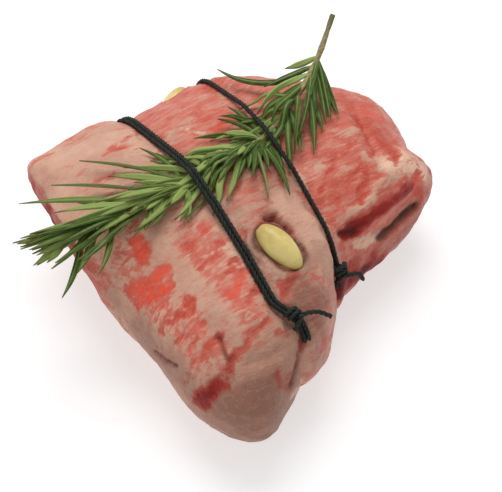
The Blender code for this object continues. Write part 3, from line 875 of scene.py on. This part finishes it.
rosemary = {
    "stemPath": (  # from the cut end
        (75, 36, 92), (62, 28, 79), (49, 21, 73), (27, 13, 66),
        (6, 6, 72), (-12, 6, 67), (-45, 5, 68), (-72, 10, 65),
    ),
    "stemRadius": 1.3,
    "stemSides": 14,
    "stemClear": 0.6,  # between the stem and the meat
    "leafWidth": 3.3,
    "leafThickness": 1.3,
    "leafClear": 2.1,
    "leafSteps": 4,
    "pressedRoom": 2.2,  # how far from the meat the sprig may be under a round of twine
    "pressedWidth": 7,
    "bareUpTo": 48,  # beyond this, short leaves also cover the stem
    "shortLeaf": 0.7,
    "seeds": (7, 21),  # for the leaves' places, and for their tones, rolls and widths
    "colours": {
        "dark": (36, 56, 14), "green": (84, 110, 36), "mottle": (94, 120, 42),
        "rib": (132, 156, 82), "paleTop": (158, 176, 98), "under": (126, 144, 80),
        "paleUnder": (170, 182, 124), "base": (152, 166, 104), "dryTip": (110, 84, 48),
        "bark": (128, 116, 72), "paleBark": (176, 164, 120), "cutEnd": (84, 92, 56),
    },
    # Each whorl: how far it is from the cut end, then its leaves' angle, length and lift,
    # and for the one that stands free over the twine how far its tip swings outwards
    "whorls": (
        (15, (36, 26, -12), (-66, 14, -9), (46, 23, -14), (12, 28, -8)),
        (18, (22, 28, -9), (-42, 22, -6), (34, 25, -12)),
        (21, (-49, 43, -12, -58), (16, 34, -4), (-28, 30, -2), (28, 25, -10)),
        (25, (30, 35, -8), (-21, 25, -5), (-8, 24, 0), (40, 24, -10)),
        (32, (30, 30, 4), (-50, 24, 0), (8, 34, 8)),
        (39, (34, 33, 0), (-32, 26, 2), (-12, 30, 6), (46, 25, 0)),
        (47, (40, 32, 0), (-58, 24, 0), (12, 30, 7), (-25, 28, 3)),
        (55, (-97, 23, 2), (58, 22, 0), (24, 26, 4), (-70, 20, 4)),
        (58, (55, 34, 2), (-48, 27, 0), (46, 20, 3), (-15, 34, 5)),
        (64, (48, 31, 0), (33, 16, 3), (-36, 30, 2), (5, 32, 6)),
        (70, (-36, 24, 0), (-11, 26, 4), (10, 26, 2), (30, 28, 0)),
        (78, (-40, 30, 0), (22, 32, 2), (-6, 36, 5), (38, 27, 0)),
        (86, (-30, 36, 1), (31, 28, 0), (6, 36, 5), (-52, 26, 0)),
        (94, (-46, 46, 0), (44, 22, 0), (-14, 40, 4), (16, 34, 2)),
        (97, (-74, 28, 0), (56, 20, 0), (-36, 32, 3), (-2, 42, 6)),
        (105, (-8, 60, 2), (-38, 47, 0), (24, 25, 0), (34, 18, 0)),
        (113, (-7, 52, 3), (-30, 52, 2), (12, 40, 0), (44, 15, 0)),
        (121, (-40, 22, 0), (-2, 44, 2), (22, 32, 0), (-9, 42, 4)),
        (129, (20, 33, 0), (-12, 24, 0), (-4, 38, 3), (52, 26, -4)),
        (137, (50, 21, -5), (-6, 34, 1), (2, 32, 2), (30, 26, -2)),
        (144, (52, 28, -9), (0, 24, 0), (16, 21, 0), (-8, 20, 0)),
        (150, (-4, 20, 1), (24, 16, -4), (8, 15, -3), (38, 14, -2)),
    ),
}


def keepClear(place, room):  # moves a place outwards until it has this much room over the meat
    place = Vector(place)
    for _ in range(4):
        nearest, normal, _, _ = meatTree.find_nearest(place)
        short = room - (place - nearest).dot(normal)
        if short > 0:
            place += normal * short
    return place


def pressDown(place):  # moves a place towards the meat where a round of twine passes over
    nearest, normal, _, _ = meatTree.find_nearest(place)
    room = (place - nearest).dot(normal)
    for index in (0, 1):
        near = bell(place.x - twineAt(index, place.y), rosemary["pressedWidth"])
        most = rosemary["pressedRoom"] / max(near, 0.01)
        if room > most:
            place = place - normal * (room - most)
            room = most
    return place


def stemPoints():
    rough = smoothPath([Vector(place) for place in rosemary["stemPath"]], 3)
    room = rosemary["stemRadius"] + rosemary["stemClear"]
    return [keepClear(pressDown(place), room) for place in rough]


def onLine(points, distance):  # the place at a distance along a path, and its way on
    for start, end in zip(points, points[1:]):
        step = (end - start).xy.length
        if distance <= step:
            return start + (end - start) * (distance / step), (end - start).normalized()
        distance -= step
    return points[-1], (points[-1] - points[-2]).normalized()


def leafPoints(stem, distance, angle, length, lift, swing=0):
    place, way = onLine(stem, distance)
    flat = Vector((way.x, way.y, 0)).normalized()
    points, steps = [place], rosemary["leafSteps"]
    for i in range(steps):
        t = i / (steps - 1)
        bend = math.radians(angle * (1.25 - 0.35 * t) + swing * t)
        cos, sin = math.cos(bend), math.sin(bend)
        climb = lift * 1.5 * (1 - 0.7 * t) / length
        step = Vector((flat.x * cos - flat.y * sin, flat.x * sin + flat.y * cos, climb))
        place = place + step * (length / steps)
        place = keepClear(place if swing else pressDown(place), rosemary["leafClear"])
        points.append(place)
    return points


class Sweep:
    # Collects rings of points and the faces between them, with a few values for each point
    def __init__(self, *names):
        self.points, self.faces = [], []
        self.values = {name: [] for name in names}

    def addRing(self, ring, **values):
        start = len(self.points)
        self.points += [tuple(place) for place in ring]
        for name, value in values.items():
            self.values[name] += value if isinstance(value, list) else [value] * len(ring)
        return start

    def addSkin(self, starts, sides, closed=False):
        # Joins the rings in their order, into a loop or with a cap on both ends
        for low, high in zip(starts, starts[1:] + starts[:1] * closed):
            for a in range(sides):
                b = (a + 1) % sides
                self.faces.append((low + a, low + b, high + b, high + a))
        if not closed:
            self.faces.append([starts[0] + a for a in reversed(range(sides))])
            self.faces.append([starts[-1] + a for a in range(sides)])

    def mesh(self, name):
        mesh = bpy.data.meshes.new(name)
        mesh.from_pydata(self.points, [], self.faces)
        placePoints(mesh, self.points)
        for label, values in self.values.items():
            store(mesh, label, values)
        work = bmesh.new()
        work.from_mesh(mesh)
        bmesh.ops.recalc_face_normals(work, faces=work.faces)
        work.to_mesh(mesh)
        work.free()
        return mesh


# A leaf's section from the top round one side to the underside: across and up, as shares of
# its half width and thickness, and how much of the pale underside shows
leafSection = [
    (0.0, 0.30, 0.0),
    (0.38, 0.56, 0.0),
    (0.78, 0.42, 0.0),
    (1.0, 0.02, 0.25),
    (0.80, -0.36, 0.5),
    (0.46, -0.38, 0.7),
    (0.22, -0.14, 1.0),
    (0.0, -0.24, 1.0),
]
leafSection += [(-across, up, pale) for across, up, pale in leafSection[-2:0:-1]]


def sideAndUp(path, i):  # level with the board and square to the path, and square to both
    ahead = path[min(len(path) - 1, i + 1)] - path[max(0, i - 1)]
    side = ahead.cross(Vector((0, 0, 1))).normalized()
    return side, side.cross(ahead).normalized()


def addLeaf(sweep, points, roll, tone, wide):
    path = smoothPath(points, 5)
    under = [pale for _, _, pale in leafSection]
    groove = [abs(across) for across, _, _ in leafSection]
    starts = []
    for i, place in enumerate(path):
        t = i / (len(path) - 1)
        side, up = sideAndUp(path, i)
        angle = roll * ease(0, 0.5, t)
        cos, sin = math.cos(angle), math.sin(angle)
        side, up = side * cos + up * sin, up * cos - side * sin
        size = 0.42 + 0.58 * ease(0, 0.22, t)  # slim at its base
        size *= max(0.06, 1 - ease(0.5, 1.08, t) ** 1.3)  # and pointed at its tip
        half = rosemary["leafWidth"] / 2 * wide * size
        thick = rosemary["leafThickness"] * (0.35 + 0.65 * size)
        ring = [place + side * (a * half) + up * (b * thick + 0.1) for a, b, _ in leafSection]
        starts.append(sweep.addRing(ring, under=under, along=t, tone=tone, groove=groove))
    sweep.addSkin(starts, len(leafSection))


def addStem(sweep, stem):
    path, sides = smoothPath(stem, 4), rosemary["stemSides"]
    starts = []
    for i, place in enumerate(path):
        side, up = sideAndUp(path, i)
        swell = 1 + 0.10 * math.sin(i * 0.9) + 0.05 * math.sin(i * 2.3)
        ring = []
        for a in range(sides):
            angle = 2 * math.pi * a / sides
            radius = rosemary["stemRadius"] * swell * (0.8 + 0.2 * min(1, i / 16))
            radius *= 1 + 0.06 * math.sin(3 * angle + i * 0.35)
            ring.append(place + (side * math.cos(angle) + up * math.sin(angle)) * radius)
        starts.append(sweep.addRing(ring, along=i / len(path)))
    sweep.addSkin(starts, sides)


def toneOf(tones, distance, angle):
    # A random tone from dark to pale. Some whorls are paler, and some leaves are in the shade
    pale = 0.6 * bell(distance - 88, 16) + 0.3 * ease(112, 130, distance)
    pale += 0.6 * bell(distance - 36, 13) * bell(angle + 16, 18)
    dim = 0.55 * ease(66, 58, distance) * ease(-4, 10, angle)
    return (tones.random() * (1 - pale) + pale) * (1 - dim)


def makeRosemary():
    stem = stemPoints()
    places, tones = (random.Random(seed) for seed in rosemary["seeds"])
    leaves = Sweep("under", "along", "tone", "groove")
    count = 0
    for distance, *row in rosemary["whorls"]:
        for angle, length, lift, *swing in row:
            spot = distance + places.uniform(-1.2, 1.2)
            points = leafPoints(stem, spot, angle, length, lift, *swing)
            roll = tones.gauss(0, 0.5) + (0.9 if tones.random() < 0.3 else 0)
            roll = roll if angle < 0 else -roll
            tone = toneOf(tones, distance, angle)
            addLeaf(leaves, points, roll, tone, tones.uniform(0.78, 1.0))
            count += 1
            if distance > rosemary["bareUpTo"]:
                turn = angle * 0.45 + tones.uniform(-8, 8)
                points = leafPoints(stem, spot + 2, turn, length * rosemary["shortLeaf"], lift + 3)
                tone = toneOf(tones, distance, angle)
                addLeaf(leaves, points, tones.gauss(0, 0.6), tone, tones.uniform(0.65, 0.88))
                count += 1
    addPiece("leaves", leaves.mesh("leaves"), leafMaterial(), "rosemary_sprig")
    wood = Sweep("along")
    addStem(wood, stem)
    addPiece("stem", wood.mesh("stem"), stemMaterial(), "rosemary_sprig")
    print("Rosemary made with", count, "leaves")


def leafMaterial():
    material, tree, shader = newMaterial("rosemaryLeaf", 0.55, Specular_IOR_Level=0.25)
    paint = paints(rosemary)
    plain = placed(tree)
    mottle = noisy(tree, plain, 2.5, 3)
    tone = painted(tree, "tone")
    along = painted(tree, "along")
    top = mixed(tree, tone, paint["dark"], paint["green"])
    top = mixed(tree, between(tree, mottle, 0.35, 0.7, 0.0, 0.4), top, paint["mottle"])
    rib = between(tree, painted(tree, "groove"), 0.34, 0.02, 0.0, 0.75)
    top = mixed(tree, rib, top, paint["rib"])
    top = mixed(tree, between(tree, tone, 0.55, 0.9, 0.0, 0.85), top, paint["paleTop"])
    under = mixed(tree, tone, paint["under"], paint["paleUnder"])
    colour = mixed(tree, painted(tree, "under"), top, under)
    colour = mixed(tree, between(tree, along, 0.18, 0.0, 0.0, 0.6), colour, paint["base"])
    dry = times(tree, between(tree, along, 0.8, 0.97), between(tree, tone, 0.45, 0.75))
    colour = mixed(tree, dry, colour, paint["dryTip"])
    tree.links.new(colour, shader.inputs["Base Color"])
    bumped(tree, shader, noisy(tree, plain, 0.5, 3), 0.08)
    return material


def stemMaterial():
    material, tree, shader = newMaterial("rosemaryStem", 0.7, Specular_IOR_Level=0.3)
    paint = paints(rosemary)
    bark = noisy(tree, placed(tree, stretch=(0.3, 1, 1)), 0.8, 4)
    colour = mixed(tree, between(tree, bark, 0.3, 0.7), paint["bark"], paint["paleBark"])
    cutEnd = between(tree, painted(tree, "along"), 0.10, 0.0, 0.0, 0.8)
    colour = mixed(tree, cutEnd, colour, paint["cutEnd"])
    tree.links.new(colour, shader.inputs["Base Color"])
    bumped(tree, shader, bark, 0.3)
    return material


# The twine's strands

def addStrand(sweep, path, closed, radius, seed):  # a few plies twisted round a path
    plies, sides = twine["plies"], twine["plySides"]
    count = len(path)
    reach = np.cumsum([(path[i] - path[i - 1]).length if i else 0 for i in range(count)])
    total = reach[-1] + ((path[0] - path[-1]).length if closed else 0)
    turns = total / twine["plyTurn"]
    if closed:
        turns = max(1, round(turns))  # so that the twist meets itself
    side, frames = None, []
    for i in range(count):
        back = path[i - 1] if closed or i else path[0]
        ahead = path[(i + 1) % count] if closed or i < count - 1 else path[-1]
        way = (ahead - back).normalized()
        start = Vector((1, 0, 0)) if closed or side is None else side
        side = start - way * start.dot(way)
        side = side.normalized() if side.length > 1e-3 else way.orthogonal().normalized()
        frames.append((side, way.cross(side)))
    for ply in range(plies):
        starts = []
        tone = (seed * 0.37 + ply * 0.29) % 1
        for i, (side, up) in enumerate(frames):
            angle = 2 * math.pi * (turns * reach[i] / total + ply / plies)
            out = side * math.cos(angle) + up * math.sin(angle)
            over = up * math.cos(angle) - side * math.sin(angle)
            centre = path[i] + out * radius * 0.46
            thick = radius * (0.56 + 0.02 * math.sin(i * 0.7 + seed))
            ring = []
            for a in range(sides):
                t = 2 * math.pi * a / sides
                ring.append(centre + (out * math.cos(t) + over * math.sin(t)) * thick)
            starts.append(sweep.addRing(ring, strand=tone))
        sweep.addSkin(starts, sides, closed)


def knotPaths(index, loop):  # a knot's turns and its two short ends
    knotY, knotZ = twine["knots"][index]
    spot = min(range(len(loop)), key=lambda i: math.dist(loop[i].yz, (knotY, knotZ)))
    middle = loop[spot]
    way = (loop[(spot + 1) % len(loop)] - loop[spot - 1]).normalized()
    side = Vector((1, 0, 0))
    out = side.cross(way).normalized()
    if out.dot(middle - Vector((middle.x, 0, twine["middleHeight"]))) < 0:
        out = -out
    halfWidth, halfHeight, length = twine["knotSize"]
    turns = []
    for i in range(twine["knotSteps"] + 1):
        angle = 2 * math.pi * i / twine["stepsPerTurn"]
        wrap = side * math.cos(angle) * halfWidth
        wrap += out * (math.sin(angle) * halfHeight + twine["knotLift"])
        turns.append(middle + wrap + way * (i / twine["knotSteps"] - 0.5) * length)
    down = way if way.z < 0 else -way
    paths = [turns]
    for start, steps in zip((turns[-1], turns[0]), twine["ends"]):
        paths.append([start] + [start + side * a + out * b + down * c for a, b, c in steps])
    return paths


def makeTwine(index, node, loop):
    sweep = Sweep("strand")
    strands, radius = twine["strands"][index], twine["strandRadius"]
    spots = evenSteps([(place.y, place.z) for place in loop], twine["strandPoints"])
    for number in range(strands):
        offset = (number - (strands - 1) / 2) * twine["strandSpacing"] * radius
        path = [Vector((twineAt(index, y) + offset, y, z)) for y, z in spots]
        addStrand(sweep, path, True, radius, number + index * 3)
    for number, points in enumerate(knotPaths(index, loop)):
        clear = [keepClear(place, radius + 0.2) for place in points]
        path = smoothPath(clear, 10 if number else 6)
        addStrand(sweep, path, False, radius * 0.97, 5 + number)
    name = "twine" + ("Left", "Right")[index]
    addPiece(name, sweep.mesh("twine"), twineMaterial(), node)
    print("Twine", index + 1, "tied with", strands, "strands")


def twineMaterial():
    material, tree, shader = newMaterial("darkTwine", 0.6, Specular_IOR_Level=0.35)
    paint = paints(twine)
    fibre = noisy(tree, placed(tree), 0.5, 4)
    colour = mixed(tree, between(tree, fibre, 0.35, 0.7), paint["dark"], paint["worn"])
    # Some plies are paler: each ply's own tone, made paler as painted glints
    strand = times(tree, painted(tree, "strand"), 0.35)
    colour = mixed(tree, strand, colour, paint["paleStrandAndGlint"])
    tree.links.new(colour, shader.inputs["Base Color"])
    bumped(tree, shader, fibre, 0.15)
    return material


# The studio

studio = {
    "floorHalf": 3.0,  # in metres, as all sizes here
    "floorDrop": 0.0002,
    "floorShade": 0.55,
    "floorGlow": 0.56,
    "roomGlow": 0.42,
    # Each light's name, place, size and power
    "lights": (
        ("window", (0.16, 0.42, 1.05), 0.8, 8.8),
        ("fill", (-0.7, -0.4, 0.6), 0.8, 1.1),
    ),
}
white = (1, 1, 1, 1)


def makeFloor():
    mesh = bpy.data.meshes.new("floor")
    half, shade = studio["floorHalf"], studio["floorShade"]
    corners = [(-half, -half, 0), (half, -half, 0), (half, half, 0), (-half, half, 0)]
    mesh.from_pydata(corners, [], [(0, 1, 2, 3)])
    floor = bpy.data.objects.new("floor", mesh)
    floor.location.z = -studio["floorDrop"]
    bpy.context.scene.collection.objects.link(floor)
    material, _, _ = newMaterial(
        "whiteFloor",
        0.9,
        Specular_IOR_Level=0.1,
        Base_Color=(shade, shade, shade, 1),
        Emission_Color=white,
        Emission_Strength=studio["floorGlow"],
    )
    mesh.materials.append(material)


def addLight(name, place, size, watts):
    light = bpy.data.lights.new(name, "AREA")
    light.size = size
    light.energy = watts
    obj = bpy.data.objects.new(name, light)
    obj.location = place
    obj.rotation_euler = (-Vector(place)).to_track_quat("-Z", "Y").to_euler()
    bpy.context.scene.collection.objects.link(obj)


def makeStudio():
    scene = bpy.context.scene
    world = bpy.data.worlds.new("whiteRoom")
    world.use_nodes = True
    background = world.node_tree.nodes["Background"]
    background.inputs["Color"].default_value = white
    background.inputs["Strength"].default_value = studio["roomGlow"]
    scene.world = world
    scene.view_settings.view_transform = "Standard"
    for light in studio["lights"]:
        addLight(*light)
    lens = bpy.data.cameras.new("camera")
    lens.lens = view["lens"]
    lens.sensor_width = view["sensor"]
    camera = bpy.data.objects.new("camera", lens)
    back = viewAxes()[2]
    camera.location = (Vector(view["aim"]) + back * view["distance"] + Vector(benchShift)) * mm
    camera.rotation_euler = back.to_track_quat("Z", "Y").to_euler()
    scene.collection.objects.link(camera)
    scene.camera = camera
    print("Studio made")


meatTree = treeOf("lamb_joint")
sprigTree = treeOf("rosemary_sprig")
makeStudio()
makeFloor()
loops = [tautLoop(index) for index in (0, 1)]
print("Twine loops found")
makeMeat(loops)
for clove in garlic["cloves"]:
    makeClove(*clove)
makeRosemary()
for index, node in enumerate(("twine_left", "twine_right")):
    makeTwine(index, node, loops[index])
